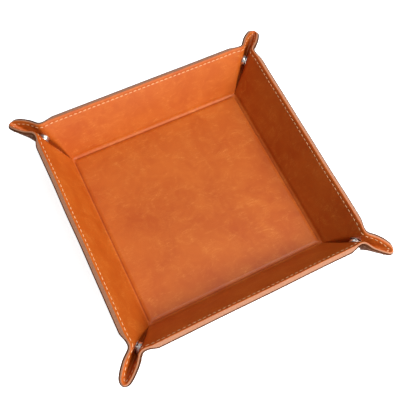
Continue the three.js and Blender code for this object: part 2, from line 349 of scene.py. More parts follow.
# %% Rows and rim
STITCH_INSET = 3.0
STITCH_GROOVE = 0.22  # its depth
GROOVE_WIDTH = 0.4
EDGE_SOFT = 0.22  # the leather thins by this much
EDGE_SOFT_REACH = 1.6  # within this distance of the rim
RIM_STEPS = 2  # rows on the edge between a layer's two faces
INTO_EAR = (92.0, 9.0)  # the board ends over these degrees: the first, and how many
SQUEEZE = 1.1  # the packet is thinner by this much on a crease, where there is no board
SQUEEZE_REACH = 4.2
# painted shade: along the bottom of each crease a darker line is painted into the lining's colour, and the
# leather there is made duller
CREASE_SHADE_LINE = (-1.4, 0.8)  # centre and width of the darker line in a crease
# rows by their distance from the crease, and then by their inset from the rim
ROWS = (0.15, 0.5, 0.9, 1.3, 1.7, 2.2, 2.7, 3.2, 3.8, 4.6, 5.6)
ROWS += (7, 9, 11.5, 14.5, 18, 21.5, 25, 28, 31, 33.5, 35.5)
INSETS = (4.4, 3.8, 3.5, 3.25, 3.0, 2.75, 2.5, 2.2, 1.7)
INSETS += (1.2, 0.8, 0.5, 0.35, 0.24, 0.14, 0.06, 0.015, 0.0)


def to_rim(direction, inset):
    """Distance from a floor corner to a line that runs inside the rim, in one direction."""
    angle = np.radians(direction)
    centre = WALL - CORNER_RADIUS
    straight = (WALL - inset) / np.sin(angle)
    along = centre * (np.sin(angle) - np.cos(angle))
    radius = CORNER_RADIUS - inset
    curved = along + np.sqrt(np.maximum(along**2 - 2 * centre**2 + radius**2, 0))
    return np.where(-straight * np.cos(angle) <= centre, straight, curved)


def edge_fall(inset):
    """How far a face falls away towards its rim, with the groove that the stitches lie in."""
    inset = np.asarray(inset, float)
    soft = EDGE_SOFT * np.clip(1 - inset / EDGE_SOFT_REACH, 0, 1) ** 2
    inside = np.clip(1 - inset / EDGE_ROUND, 0, 1)
    burnished = EDGE_ROUND * (1 - np.sqrt(np.maximum(1 - inside**2, 0)))
    return soft + burnished + STITCH_GROOVE * bell(inset, STITCH_INSET, GROOVE_WIDTH)


def crease_shade_and_dull_at(points):
    """0 on plain leather and 1 in the bottom of a crease, for the finish to paint shade there and to dull
    it.
    """
    x, s = np.abs(points[:, 0]) - HALF_FLOOR, points[:, 1] - HALF_FLOOR
    own = bell(s, *CREASE_SHADE_LINE) * smooth(-x / CREASE_FADE)
    other = np.where(s < 0, bell(x, *CREASE_SHADE_LINE) * smooth(-s / CREASE_FADE), 0)
    return np.maximum(own, other)


def packet_at(points):
    """Thickness of all layers together: less in the ears, and less in the creases."""
    past, s = np.abs(points[:, 0]) - HALF_FLOOR, points[:, 1] - HALF_FLOOR
    direction = np.degrees(np.arctan2(s, -past))
    into_ear = np.where(past > 0, rise(direction, *INTO_EAR), 0)
    thick = PACKET + (EAR_PACKET - PACKET) * into_ear
    to_crease = np.where(past < 0, np.abs(s), np.hypot(past, s))
    return thick - SQUEEZE * (1 - smooth(to_crease / SQUEEZE_REACH)) * smooth(-past / CREASE_FADE)


# %% Shells from grids
WELD = 1e-6  # points nearer than this, in metres, become one
LEATHER_SHARP = math.radians(38)  # edges sharper than this stay sharp


def grid_shell(name, grid, top, bottom, side):
    """A closed shell over a grid of flat points, shaped (columns, rows, 2). `top` and `bottom`
    are depths on that grid. Faces get material 0 on top, 1 on the edges and 2 underneath."""
    columns, rows = grid.shape[:2]
    flat = grid.reshape(-1, 2)
    over = fold(flat, top.ravel(), side)[0].reshape(columns, rows, 3)
    thick = bottom[:, -1] - top[:, -1]
    steps = [top[:, -1] + thick * k / (RIM_STEPS + 1) for k in range(1, RIM_STEPS + 1)]
    rim = [fold(grid[:, -1], depth, side)[0].reshape(columns, 1, 3) for depth in steps]
    under = fold(flat, bottom.ravel(), side)[0].reshape(columns, rows, 3)[:, ::-1]
    loop = np.concatenate([over, *rim, under], axis=1)
    count = loop.shape[1]
    flat_loop = np.concatenate([grid] + [grid[:, -1:]] * RIM_STEPS + [grid[:, ::-1]], axis=1)
    faces, kinds = [], []
    for i in range(columns - 1):
        for j in range(count):
            k = (j + 1) % count
            a, b = i * count, (i + 1) * count
            faces.append((a + j, a + k, b + k, b + j))
            kinds.append(0 if j < rows - 1 else 2 if rows + RIM_STEPS <= j < count - 1 else 1)
    for i, back in ((0, False), (columns - 1, True)):
        base = i * count
        caps = [
            (base + j, base + count - 1 - j, base + count - 2 - j, base + j + 1)
            for j in range(rows - 1)
        ]
        caps.append(tuple(range(base + count - rows, base + rows - 2, -1)))
        for cap in caps:
            faces.append(cap[::-1] if back else cap)
            kinds.append(1)
    mesh = bpy.data.meshes.new(name)
    mesh.from_pydata((loop.reshape(-1, 3) * MM).tolist(), [], faces)
    mesh.polygons.foreach_set("material_index", kinds)
    sheet = turn_flat(flat_loop.reshape(-1, 2), sheet_turn(side))
    depth = np.concatenate([top, np.stack(steps, 1), bottom[:, ::-1]], axis=1)
    finish_shell(mesh, sheet, depth.ravel(), crease_shade_and_dull_at(flat_loop.reshape(-1, 2)))
    piece = bpy.data.objects.new(name, mesh)
    bpy.context.scene.collection.objects.link(piece)
    return piece


def finish_shell(mesh, sheet, depth, crease_shade_and_dull):
    """UVs from the flat sheet, smooth shading with sharp corners, and faces that look outwards."""
    uv = mesh.uv_layers.new(name="sheet")
    loops = np.array([loop.vertex_index for loop in mesh.loops])
    spread = 0.5 + sheet / (2 * HALF_SHEET) + (depth / (2 * HALF_SHEET))[:, None]
    uv.data.foreach_set("uv", spread[loops].astype(np.float32).ravel())
    # the crease mask, which the tan finish reads for painted shade and for a duller surface
    marks = mesh.attributes.new("crease_shade_and_dull", "FLOAT", "POINT")
    marks.data.foreach_set("value", crease_shade_and_dull.astype(np.float32))
    work = bmesh.new()
    work.from_mesh(mesh)
    bmesh.ops.remove_doubles(work, verts=work.verts, dist=WELD)
    bmesh.ops.recalc_face_normals(work, faces=work.faces)
    work.to_mesh(mesh)
    work.free()
    mesh.shade_smooth()
    mesh.set_sharp_from_angle(angle=LEATHER_SHARP)
    mesh.update()


# %% [markdown]
# ## Camera, floor and light
# The camera stands high over the near left side and looks steeply down, with a slight roll.
# Four soft boxes and a white surround light the tray. The key stands on the near right and
# brightens the two walls that face it, a small one overhead catches the creases, a low one in
# front fills the shaded wall, and a weak one behind lifts the far side.

# %% Camera
CAMERA_PLACE = Vector((-0.1011, -0.1517, 0.4479))
HEADING = math.radians(35.0)
DOWN = math.radians(67.6)
CAMERA_ROLL = math.radians(9.18)

camera_data = bpy.data.cameras.new("camera")
camera_data.sensor_width = 36.0
camera_data.lens = 54.44
camera = bpy.data.objects.new("camera", camera_data)
bpy.context.scene.collection.objects.link(camera)
reach = math.cos(DOWN)
forward = Vector((math.sin(HEADING) * reach, math.cos(HEADING) * reach, -math.sin(DOWN)))
level = forward.cross(Vector((0, 0, 1))).normalized()
upward = level.cross(forward)
right = level * math.cos(CAMERA_ROLL) + upward * math.sin(CAMERA_ROLL)
above = right.cross(forward)
axes = Matrix((right, above, -forward)).transposed().to_4x4()
camera.matrix_world = Matrix.Translation(CAMERA_PLACE) @ axes
bpy.context.scene.camera = camera
print("camera at", [round(v, 3) for v in camera.matrix_world.translation])

# %% Table and light
bpy.context.scene.view_settings.view_transform = "Standard"


def plain_floor():
    """A white table top that glows a little, so that it stays plain."""
    mesh = bpy.data.meshes.new("table_top")
    far = 3.0
    mesh.from_pydata([(-far, -far, 0), (far, -far, 0), (far, far, 0), (-far, far, 0)], [], [(0, 1, 2, 3)])
    paper = bpy.data.materials.new("white_paper")
    paper.use_nodes = True
    shader = paper.node_tree.nodes["Principled BSDF"]
    shader.inputs["Base Color"].default_value = (0.93, 0.93, 0.93, 1)
    shader.inputs["Roughness"].default_value = 0.9
    shader.inputs["Emission Color"].default_value = (1, 1, 1, 1)
    shader.inputs["Emission Strength"].default_value = 0.8
    mesh.materials.append(paper)
    table = bpy.data.objects.new("table_top", mesh)
    bpy.context.scene.collection.objects.link(table)
    return table


def soft_box(name, place, size, power):
    """A rectangular light that faces the tray."""
    data = bpy.data.lights.new(name, "AREA")
    data.shape = "RECTANGLE"
    data.size, data.size_y = size
    data.energy = power
    lamp = bpy.data.objects.new(name, data)
    lamp.location = place
    lamp.rotation_mode = "QUATERNION"
    lamp.rotation_quaternion = (-Vector(place)).to_track_quat("-Z", "Y")
    bpy.context.scene.collection.objects.link(lamp)
    return lamp


plain_floor()
soft_box("key_light", (0.75, -0.95, 1.25), (0.8, 0.8), 31)
soft_box("top_card", (0.32, -0.22, 1.4), (0.5, 0.5), 5)
soft_box("south_card", (0.15, -1.5, 0.30), (1.4, 0.5), 10)
soft_box("north_fill", (-0.1, 1.3, 1.1), (1.0, 0.6), 2.5)
world = bpy.data.worlds.new("white_surround")
world.use_nodes = True
surround = world.node_tree.nodes["Background"].inputs
surround["Color"].default_value = (1, 1, 1, 1)
surround["Strength"].default_value = 0.21
bpy.context.scene.world = world

# %% [markdown]
# ## Leather and raw edge
# The tan lining is smooth leather with a pulled-up, cloudy colour: a base orange-brown, drifting
# lighter and redder over a few centimetres, with faint light streaks where it was rubbed, and a
# very fine grain. The patterns read the sheet's own coordinates, so they run over the creases
# and round the ears as they do on one piece of leather.


# %% Helpers for materials
class Finish:
    """A material with short ways to add nodes."""

    def __init__(self, name):
        self.material = bpy.data.materials.new(name)
        self.material.use_nodes = True
        self.tree = self.material.node_tree
        self.shader = self.tree.nodes["Principled BSDF"]

    def add(self, kind, values=(), **settings):
        node = self.tree.nodes.new(kind)
        for key, value in settings.items():
            setattr(node, key, value)
        for key, value in values:
            if isinstance(value, bpy.types.NodeSocket):
                self.tree.links.new(value, node.inputs[key])
            else:
                node.inputs[key].default_value = value
        return node

    def noise(self, vector, scale, detail, roughness, distortion=0.0):
        values = (("Vector", vector), ("Scale", scale), ("Detail", detail))
        values += (("Roughness", roughness), ("Distortion", distortion))
        return self.add("ShaderNodeTexNoise", values).outputs["Fac"]

    def ramp(self, factor, stops):
        """A colour ramp. `stops` are (position, colour) pairs."""
        node = self.add("ShaderNodeValToRGB", [("Fac", factor)])
        elements = node.color_ramp.elements
        for index, (position, colour) in enumerate(stops):
            element = elements[index] if index < 2 else elements.new(position)
            element.position = position
            element.color = (*colour, 1)
        return node.outputs["Color"]

    def over(self, factor, start, full):
        """Black below one value of the factor, white above another."""
        return self.ramp(factor, [(start, (0, 0, 0)), (full, (1, 1, 1))])

    def mix(self, factor, first, second):
        values = ((0, factor), (6, first), (7, second))
        return self.add("ShaderNodeMix", values, data_type="RGBA").outputs[2]

    def total(self, first, second):
        return self.add("ShaderNodeMath", [(0, first), (1, second)], operation="ADD").outputs[0]

    def stretched(self, vector, degrees, scale):
        """Coordinates turned in the sheet and stretched, for streaks."""
        values = (("Vector", vector), ("Rotation", (0, 0, math.radians(degrees))), ("Scale", scale))
        return self.add("ShaderNodeMapping", values).outputs["Vector"]

    def spread(self, factor, low, high):
        """A 0..1 value spread between two numbers."""
        node = self.add("ShaderNodeMapRange", [("Value", factor), ("To Min", low), ("To Max", high)])
        return node.outputs["Result"]

    def link(self, name, socket):
        self.tree.links.new(socket, self.shader.inputs[name])

    def bump(self, height, strength, distance):
        values = (("Height", height), ("Strength", strength), ("Distance", distance))
        self.link("Normal", self.add("ShaderNodeBump", values).outputs["Normal"])

    def set(self, **values):
        for name, value in values.items():
            self.shader.inputs[name.replace("_", " ")].default_value = value


# %% Tan lining
DEEP_TAN = (0.46, 0.078, 0.0040)
MIDDLE_TAN = (0.50, 0.097, 0.006)
BRIGHT_TAN = (0.55, 0.120, 0.0090)
PALE_PATCH = (0.62, 0.17, 0.018, 1)
RUBBED = (0.66, 0.21, 0.035, 1)
VEIN = (0.74, 0.27, 0.055, 1)
# painted shade in the bottom of a crease
PAINTED_CREASE_SHADE = (0.28, 0.036, 0.003, 1)
BLACK = (0, 0, 0, 1)
VEINS = ((9.0, 35, 0.50), (15.0, -50, 0.42), (26.0, 15, 0.34))  # scale, degrees, strength


def tan_leather():
    """Smooth leather with clouds, paler patches, rubbed streaks, fine veins, and painted shade in the
    creases, which are also duller.
    """
    finish = Finish("tan_leather")
    sheet = finish.add("ShaderNodeUVMap", uv_map="sheet").outputs["UV"]
    cloud = finish.noise(sheet, 7.0, 5.0, 0.6, 0.6)
    base = finish.ramp(cloud, [(0.30, DEEP_TAN), (0.72, BRIGHT_TAN), (0.5, MIDDLE_TAN)])
    pale = finish.over(finish.noise(sheet, 17.0, 4.0, 0.65, 1.2), 0.44, 0.68)
    base = finish.mix(finish.spread(pale, 0.0, 0.22), base, PALE_PATCH)
    combed = finish.stretched(sheet, 28, (1.0, 9.0, 1.0))
    rubbed = finish.over(finish.noise(combed, 9.0, 6.0, 0.7, 0.4), 0.60, 0.74)
    base = finish.mix(finish.spread(rubbed, 0.0, 0.30), base, RUBBED)
    for scale, degrees, strength in VEINS:
        veins = finish.noise(finish.stretched(sheet, degrees, (0.6, 2.6, 1.0)), scale, 4.0, 0.55, 1.6)
        vein = finish.ramp(veins, [(0.488, (0, 0, 0)), (0.50, (1, 1, 1)), (0.512, (0, 0, 0))])
        shown = finish.mix(vein, BLACK, pale)
        base = finish.mix(finish.spread(shown, 0.0, strength), base, VEIN)
    # painted shade: the bottom of each crease is darkened towards brown, and its roughness also rises
    crease_shade_and_dull = finish.add("ShaderNodeAttribute", attribute_name="crease_shade_and_dull").outputs["Fac"]
    groove = finish.over(crease_shade_and_dull, 0.55, 0.95)
    finish.link("Base Color", finish.mix(finish.spread(groove, 0.0, 0.55), base, PAINTED_CREASE_SHADE))
    rough = finish.total(finish.spread(cloud, 0.40, 0.54), finish.spread(crease_shade_and_dull, 0.0, 0.30))
    finish.link("Roughness", rough)
    grain = finish.noise(sheet, 420.0, 3.0, 0.6)
    pores = finish.add("ShaderNodeTexVoronoi", [("Vector", sheet), ("Scale", 260.0)]).outputs["Distance"]
    finish.bump(finish.total(grain, pores), 0.18, 0.0002)
    finish.set(Specular_IOR_Level=0.4)
    return finish.material


# %% Raw edge
def raw_edge():
    """Cut leather and board seen end-on: pale, matt and fibrous."""
    finish = Finish("raw_edge")
    place = finish.add("ShaderNodeTexCoord").outputs["Object"]
    fibres = finish.noise(place, 900.0, 4.0, 0.7)
    wander = finish.noise(place, 60.0, 3.0, 0.6)
    colour = finish.ramp(fibres, [(0.3, (0.36, 0.145, 0.075)), (0.7, (0.50, 0.25, 0.15))])
    finish.link("Base Color", finish.mix(finish.spread(wander, 0.0, 0.5), colour, (0.42, 0.15, 0.06, 1)))
    finish.link("Roughness", finish.spread(fibres, 0.7, 0.9))
    finish.bump(fibres, 0.35, 0.0002)
    return finish.material


# %% Dark backing
def dark_backing():
    """A matt dark brown leather with a pebbled grain."""
    finish = Finish("dark_backing")
    sheet = finish.add("ShaderNodeUVMap", uv_map="sheet").outputs["UV"]
    cells = finish.add("ShaderNodeTexVoronoi", [("Vector", sheet), ("Scale", 190.0)]).outputs["Distance"]
    cloud = finish.noise(sheet, 12.0, 4.0, 0.6, 0.5)
    colour = finish.ramp(cloud, [(0.3, (0.070, 0.020, 0.007)), (0.7, (0.115, 0.036, 0.013))])
    finish.link("Base Color", colour)
    finish.link("Roughness", finish.spread(cells, 0.62, 0.82))
    finish.bump(cells, 0.35, 0.0004)
    finish.set(Specular_IOR_Level=0.04)
    return finish.material


TAN = tan_leather()
RAW = raw_edge()
DARK = dark_backing()
print("finishes made:", TAN.name, RAW.name, DARK.name)

# %% [markdown]
# ## The floor
# The floor's lining and backing are plain squares that stop a little short of the creases, where
# the wall pieces take over. They never bend, so they ride on the base.

# %% Dress a piece
LAYERS = {
    # a layer's top and bottom face, and its finish on top, at the edges and underneath
    "lining": ("face", "lining", (TAN, RAW, RAW)),
    "backing": ("board", "back", (DARK, DARK, DARK)),
}


def dress(piece, materials, slot, *nodes):
    """Gives a piece its materials and hides the frame's nodes that it stands for. The slot is not used."""
    for material in materials:
        piece.data.materials.append(material)
    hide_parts(*nodes)
    return piece


def leather(layer, part, grid, depths, side, *nodes):
    """One layer of a part of the sheet. `depths` holds the layers' faces by name."""
    top, bottom, materials = LAYERS[layer]
    piece = grid_shell(f"{part}_{layer}_leather", grid, depths[top], depths[bottom], side)
    print(piece.name, len(piece.data.polygons), "faces")
    return dress(piece, materials, f"{layer}_leather", *nodes)


# %% Floor
SEAM = 4.0  # the floor pieces end this far from the crease
FLOOR_COLUMNS = 25
SIDES = {"north": ("ne", "nw"), "east": ("se", "ne"), "south": ("sw", "se"), "west": ("nw", "sw")}

line = np.linspace(SEAM - HALF_FLOOR, HALF_FLOOR - SEAM, FLOOR_COLUMNS)
grid = np.stack(np.meshgrid(line, line, indexing="ij"), axis=2)
faces = {"face": 0, "lining": LINING, "board": PACKET - BACKING, "back": PACKET}
depths = {name: np.full(grid.shape[:2], depth) for name, depth in faces.items()}
for layer in LAYERS:
    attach(leather(layer, "floor", grid, depths, "north", "floor_" + layer), "base")

# %% [markdown]
# ## The walls
# A wall's lining runs from the floor's piece, through the crease, up to the rim, and is made in
# the tray's snapped-up shape. The board is stiff, so it only rides on the wall, and its raw edge
# shows at the rim between the two leathers.


# %% Wall grids
MIDDLE = 0.94  # share of a wall's length that has its columns far apart
MIDDLE_COLUMNS = 66
END_COLUMNS = 8
LINING_BEND = 1.6  # a reach from the hinge, listed with the lining in the loop below
BACKING_BEND = 2.8


def strip_grid(share, half, heights):
    """A grid of columns at shares of a half length, and rows at heights over the crease."""
    out = np.tile(HALF_FLOOR + heights, (len(share), 1))
    return np.stack([share[:, None] * half[None, :], out], axis=2)


def wall_grid():
    """Columns along the side, rows from the floor's piece to the rim."""
    down = -np.array(ROWS)[::-1]
    down = down[down > -SEAM]
    heights = np.concatenate([[-SEAM], down, [0.0], ROWS, WALL - np.array(INSETS)])
    first = np.linspace(-1, -MIDDLE, END_COLUMNS)[:-1]
    last = np.linspace(MIDDLE, 1, END_COLUMNS)[1:]
    share = np.concatenate([first, np.linspace(-MIDDLE, MIDDLE, MIDDLE_COLUMNS), last])
    return strip_grid(share, HALF_FLOOR + np.minimum(heights, 0), heights)


def layer_depths(grid, inset):
    """Depths of the faces between the layers: lining, board and backing."""
    flat = grid.reshape(-1, 2)
    thin = pinch(flat).reshape(grid.shape[:2])
    packet = packet_at(flat).reshape(grid.shape[:2])
    fall = edge_fall(inset)
    return {
        "face": thin * fall,
        "lining": thin * LINING,
        "board": thin * (packet - BACKING),
        "back": thin * (packet - BACK_FALL * fall),
    }


def wall_inset(grid):
    return HALF_SHEET - grid[:, :, 1]


for side in SIDES:
    grid = wall_grid()
    depths = layer_depths(grid, wall_inset(grid))
    wall = "wall_" + side
    for layer, bend in (("lining", LINING_BEND * MM), ("backing", BACKING_BEND * MM)):
        piece = leather(layer, wall, grid, depths, side, f"{wall}_{layer}")
        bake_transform(piece)

# %% Wall boards
BOARD_START = 3.4  # the boards stop this far from the crease
BOARD_END = 100.0  # and run this far round the corner, in degrees
BOARD_COLUMNS = 90
BOARD_SLACK = 0.01  # between a board and the leather on it


def board_grid():
    """Columns along the side and a little way round both corners, rows up to the rim."""
    rows = [height for height in ROWS if height > BOARD_START]
    heights = np.concatenate([[BOARD_START], rows, WALL - np.array(INSETS)])
    round_corner = heights * math.tan(math.radians(BOARD_END - 90))
    return strip_grid(np.linspace(-1, 1, BOARD_COLUMNS), HALF_FLOOR + round_corner, heights)


for side in SIDES:
    grid = board_grid()
    depths = layer_depths(grid, wall_inset(grid))
    top, bottom = depths["lining"] + BOARD_SLACK, depths["board"] - BOARD_SLACK
    board = grid_shell(f"wall_{side}_board_core", grid, top, bottom, side)
    dress(board, (RAW, RAW, RAW), "core_board", f"wall_{side}_board")
    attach(board, "wall_" + side)
    print(board.name, len(board.data.polygons), "faces")

# %% [markdown]
# ## Ears and pleats
# Each corner has two half ears and two half pleats, one of each on either side of the mirror
# plane. Their grids are fans: the columns are directions round the floor corner, and the rows
# run out to the rim. A half ear lies between its wall and the ear, and a half pleat between
# the ear and the pleat.

# %% Fan grids
PLEAT_SEAM = 124.0  # direction of the seam between the ear's piece and the pleat's
FIRST_ROW = 0.04  # almost at the floor corner
FAR_INSIDE = 9.0  # an inset that is out of the rim's reach
FANS = {
    # first and last direction, columns, the bend's centre, and the blend's two ends, which are
    # millimetres before and after that centre
    "ear": (90.0, PLEAT_SEAM, 46, EAR_BEND[0], -3.0, 5.0),
    "pleat": (PLEAT_SEAM, DIAGONAL, 20, PLEAT_BEND[0], -2.2, 0.2),
}
STANDS_FOR = {
    # what a fan's layer replaces, by the end of the node's name
    ("ear", "lining"): ["_lining"],
    ("ear", "backing"): ["_backing"],
    ("pleat", "lining"): ["_strip"],
    ("pleat", "backing"): [],
}


def fan_grid(first, last, count, end):
    """Points in directions round a floor corner, with each point's inset from the rim."""
    directions = np.linspace(first, last, count)
    shares = np.concatenate([[FIRST_ROW], ROWS]) / (WALL - INSETS[0])
    inner = shares * to_rim(directions, INSETS[0])[:, None]
    outer = np.stack([to_rim(directions, inset) for inset in INSETS], axis=1)
    distance = np.concatenate([inner, outer], axis=1)
    angle = np.radians(directions)[:, None]
    x = end * (HALF_FLOOR - distance * np.cos(angle))
    y = HALF_FLOOR + distance * np.sin(angle)
    inset = np.concatenate([np.full(inner.shape, FAR_INSIDE), np.tile(INSETS, (count, 1))], axis=1)
    return np.stack([x, y], axis=2), inset


def cone_point(direction, offset, end, side):
    """A point beside a ray through a floor corner: `offset` millimetres across the ray."""
    across = on_cone(cone_crossings, np.array([direction]))[0] * (end, 1, 1) * offset
    place = np.array([[end * HALF_FLOOR, HALF_FLOOR, LINING_TOP]]) + across
    place[:, :2] = turn_flat(place[:, :2], sheet_turn(side))
    return Vector(place[0] * MM)


def blend_fan(piece, kind, side, end):
    """Finds the points at the two ends of the piece's bend, and bakes the piece's transform into its mesh.
    """
    bend, before, after = FANS[kind][3:]
    cone_point(bend, before, end, side)
    cone_point(bend, after, end, side)
    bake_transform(piece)


for side, corners in SIDES.items():
    for corner, end in zip(corners, (1, -1)):
        for kind, (first, last, count, *_) in FANS.items():
            grid, inset = fan_grid(first, last, count, end)
            depths = layer_depths(grid, inset)
            body = f"{kind}_{corner}_{side}"
            for layer in LAYERS:
                nodes = [body + ending for ending in STANDS_FOR[kind, layer]]
                piece = leather(layer, body, grid, depths, side, *nodes)
                blend_fan(piece, kind, side, end)

# %% [markdown]
# ## Stitches
# One row of lockstitches runs round the whole sheet, three millimetres inside the rim, and shows
# on both faces. Hundreds of equal stitches on a path are a job for Geometry Nodes: the tree turns
# a path into a curve, resamples it to one point for each stitch, and sets a small tapered piece
# of thread on every point, lying along the path. Each body gets its own run of the row.


# %% Thread finish
def waxed_thread(name, dark, light):
    """A waxed thread with a fine twist."""
    finish = Finish(name)
    place = finish.add("ShaderNodeTexCoord").outputs["Object"]
    fibres = finish.noise(place, 2600.0, 3.0, 0.7)
    finish.link("Base Color", finish.ramp(fibres, [(0.3, dark), (0.7, light)]))
    finish.link("Roughness", finish.spread(fibres, 0.45, 0.65))
    finish.bump(fibres, 0.3, 0.0001)
    return finish.material


THREAD = waxed_thread("waxed_thread", (0.70, 0.35, 0.15), (0.90, 0.55, 0.29))
BOBBIN = waxed_thread("bobbin_thread", (0.20, 0.075, 0.028), (0.32, 0.13, 0.052))

# %% Stitch tree
STITCH_LENGTH = 2.9 * MM
THREAD_WIDTH = 0.7 * MM
THREAD_SINK = STITCH_GROOVE * 0.5  # the thread lies this deep in its groove


def stitch_tree():
    """Path in, a row of stitches out."""
    tree = bpy.data.node_groups.new("stitch_row", "GeometryNodeTree")
    inputs = {
        "Geometry": "Geometry",
        "Stitches": "Int",
        "Stitch length": "Float",
        "Thread width": "Float",
        "Thread": "Material",
    }
    for name, kind in inputs.items():
        tree.interface.new_socket(name, in_out="INPUT", socket_type="NodeSocket" + kind)
    tree.interface.new_socket("Geometry", in_out="OUTPUT", socket_type="NodeSocketGeometry")

    def add(kind, links=(), **settings):
        node = tree.nodes.new(kind)
        for key, value in settings.items():
            setattr(node, key, value)
        for key, socket in links:
            tree.links.new(socket, node.inputs[key])
        return node

    given = add("NodeGroupInput").outputs
    path = add("GeometryNodeMeshToCurve", [("Mesh", given["Geometry"])])
    row = add("GeometryNodeResampleCurve", [("Curve", path.outputs[0]), ("Count", given["Stitches"])])
    ball = add("GeometryNodeMeshUVSphere")
    ball.inputs["Segments"].default_value = 8
    ball.inputs["Rings"].default_value = 6
    ball.inputs["Radius"].default_value = 0.5
    width = given["Thread width"]
    size = add("ShaderNodeCombineXYZ", [("X", given["Stitch length"]), ("Y", width), ("Z", width)])
    stitch = add("GeometryNodeTransform", [("Geometry", ball.outputs["Mesh"]), ("Scale", size.outputs[0])])
    along = add("GeometryNodeInputTangent")
    aim = add("FunctionNodeAlignRotationToVector", [("Vector", along.outputs[0])], axis="X")
    out_of_face = add("GeometryNodeInputNamedAttribute", data_type="FLOAT_VECTOR")
    out_of_face.inputs["Name"].default_value = "out_of_face"
    settle = add(
        "FunctionNodeAlignRotationToVector",
        [("Rotation", aim.outputs[0]), ("Vector", out_of_face.outputs[0])],
        axis="Z",
        pivot_axis="X",
    )
    row_of = add(
        "GeometryNodeInstanceOnPoints",
        [("Points", row.outputs[0]), ("Instance", stitch.outputs[0]), ("Rotation", settle.outputs[0])],
    )
    real = add("GeometryNodeRealizeInstances", [("Geometry", row_of.outputs[0])])
    soft = add("GeometryNodeSetShadeSmooth", [("Geometry", real.outputs[0])])
    painted = add("GeometryNodeSetMaterial", [("Geometry", soft.outputs[0]), ("Material", given["Thread"])])
    add("NodeGroupOutput", [("Geometry", painted.outputs[0])])
    return tree


STITCH_ROW = stitch_tree()
print("stitch tree has", len(STITCH_ROW.nodes), "nodes")

# %% The row's path
STITCH_PITCH = 3.8
PATH_STEP = 0.6
ROW_RADIUS = CORNER_RADIUS - STITCH_INSET
ROW_STRAIGHT = HALF_SHEET - CORNER_RADIUS
ROW_HALF = ROW_STRAIGHT + math.pi / 4 * ROW_RADIUS
ROW_COUNT = round(2 * ROW_HALF / STITCH_PITCH)


def on_row(distance):
    """A point of the stitch line in the flat sheet, by its distance from the side's middle."""
    distance = np.asarray(distance, float)
    run = np.abs(distance)
    swing = np.maximum(run - ROW_STRAIGHT, 0) / ROW_RADIUS
    x = np.minimum(run, ROW_STRAIGHT) + ROW_RADIUS * np.sin(swing)
    y = ROW_STRAIGHT + ROW_RADIUS * np.cos(swing)
    return np.column_stack([np.sign(distance) * x, y])


def stitch_body(point, side):
    """Which body a stitch belongs to."""
    past, s = abs(point[0]) - HALF_FLOOR, point[1] - HALF_FLOOR
    if past <= 0:
        return "wall_" + side
    corner = SIDES[side][0 if point[0] > 0 else 1]
    kind = "ear" if math.degrees(math.atan2(s, -past)) < PLEAT_SEAM else "pleat"
    return f"{kind}_{corner}_{side}"


def stitch_run(body, first, last, side, face):
    """The path of one run of stitches, from one stitch's middle to another's, on one face."""
    distance = np.linspace(first, last, max(8, round(abs(last - first) / PATH_STEP)))
    flat = on_row(distance)
    depth = np.full(len(flat), THREAD_SINK) if face == "front" else packet_at(flat) - THREAD_SINK
    place, normal = fold(flat, depth, side)
    normal = normal if face == "front" else -normal
    mesh = bpy.data.meshes.new(body + "_stitch_path")
    mesh.from_pydata((place * MM).tolist(), [(i, i + 1) for i in range(len(flat) - 1)], [])
    facing = mesh.attributes.new("out_of_face", "FLOAT_VECTOR", "POINT")
    facing.data.foreach_set("vector", normal.astype(np.float32).ravel())
    path = bpy.data.objects.new(body + "_stitch_path", mesh)
    bpy.context.scene.collection.objects.link(path)
    return path


def sew(path, name, stitches, thread):
    """Runs the stitch tree on a path and keeps the plain mesh that it makes."""
    modifier = path.modifiers.new("stitches", "NODES")
    modifier.node_group = STITCH_ROW
    values = {
        "Stitches": stitches,
        "Stitch length": STITCH_LENGTH,
        "Thread width": THREAD_WIDTH,
        "Thread": thread,
    }
    for item in STITCH_ROW.interface.items_tree:
        if item.name in values:
            modifier[item.identifier] = values[item.name]
    evaluated = path.evaluated_get(bpy.context.evaluated_depsgraph_get())
    mesh = bpy.data.meshes.new_from_object(evaluated)
    mesh.name = name
    piece = bpy.data.objects.new(name, mesh)
    bpy.context.scene.collection.objects.link(piece)
    bpy.data.objects.remove(path)
    return piece


def sew_side(side):
    """Sews one side's part of the row, with a run on each face of every body."""
    middles = -ROW_HALF + (np.arange(ROW_COUNT) + 0.5) * 2 * ROW_HALF / ROW_COUNT
    runs = {}
    for middle in middles:
        runs.setdefault(stitch_body(on_row([middle])[0], side), []).append(float(middle))
    for body, members in runs.items():
        for face, thread in (("front", THREAD), ("back", BOBBIN)):
            path = stitch_run(body, members[0], members[-1], side, face)
            piece = sew(path, f"{body}_{face}_stitches", len(members), thread)
            kind, corner = body.split("_")[:2]
            if kind == "wall":
                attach(piece, body)
            else:
                blend_fan(piece, kind, side, 1 if corner == SIDES[side][0] else -1)
        print(body, len(members), "stitches on each face")


for side in SIDES:
    sew_side(side)

# %% [markdown]
# ## Snap fasteners
# Each corner has a press fastener in four turned pieces: outside, a domed cap on the one half and
# a flat-headed post on the other; inside, a socket ring and the stud that clicks into it. A turned
# piece is a profile swept round an axis. The axis is square to the mirror plane, and the heights
# along it are measured from that plane, at the place where the pinched leather lies.


# %% Nickel
def nickel_plate():
    """Bright nickel with smudges and fine rub marks."""
    finish = Finish("nickel_plate")
    place = finish.add("ShaderNodeTexCoord").outputs["Object"]
    smudge = finish.noise(place, 350.0, 4.0, 0.6)
    rubs = finish.noise(finish.stretched(place, 0, (1.0, 1.0, 14.0)), 900.0, 4.0, 0.7)
    finish.link("Base Color", finish.ramp(smudge, [(0.3, (0.80, 0.78, 0.75)), (0.7, (0.93, 0.91, 0.88))]))
    finish.link("Roughness", finish.spread(rubs, 0.22, 0.42))
    finish.bump(rubs, 0.06, 0.00005)
    finish.set(Metallic=1.0)
    return finish.material


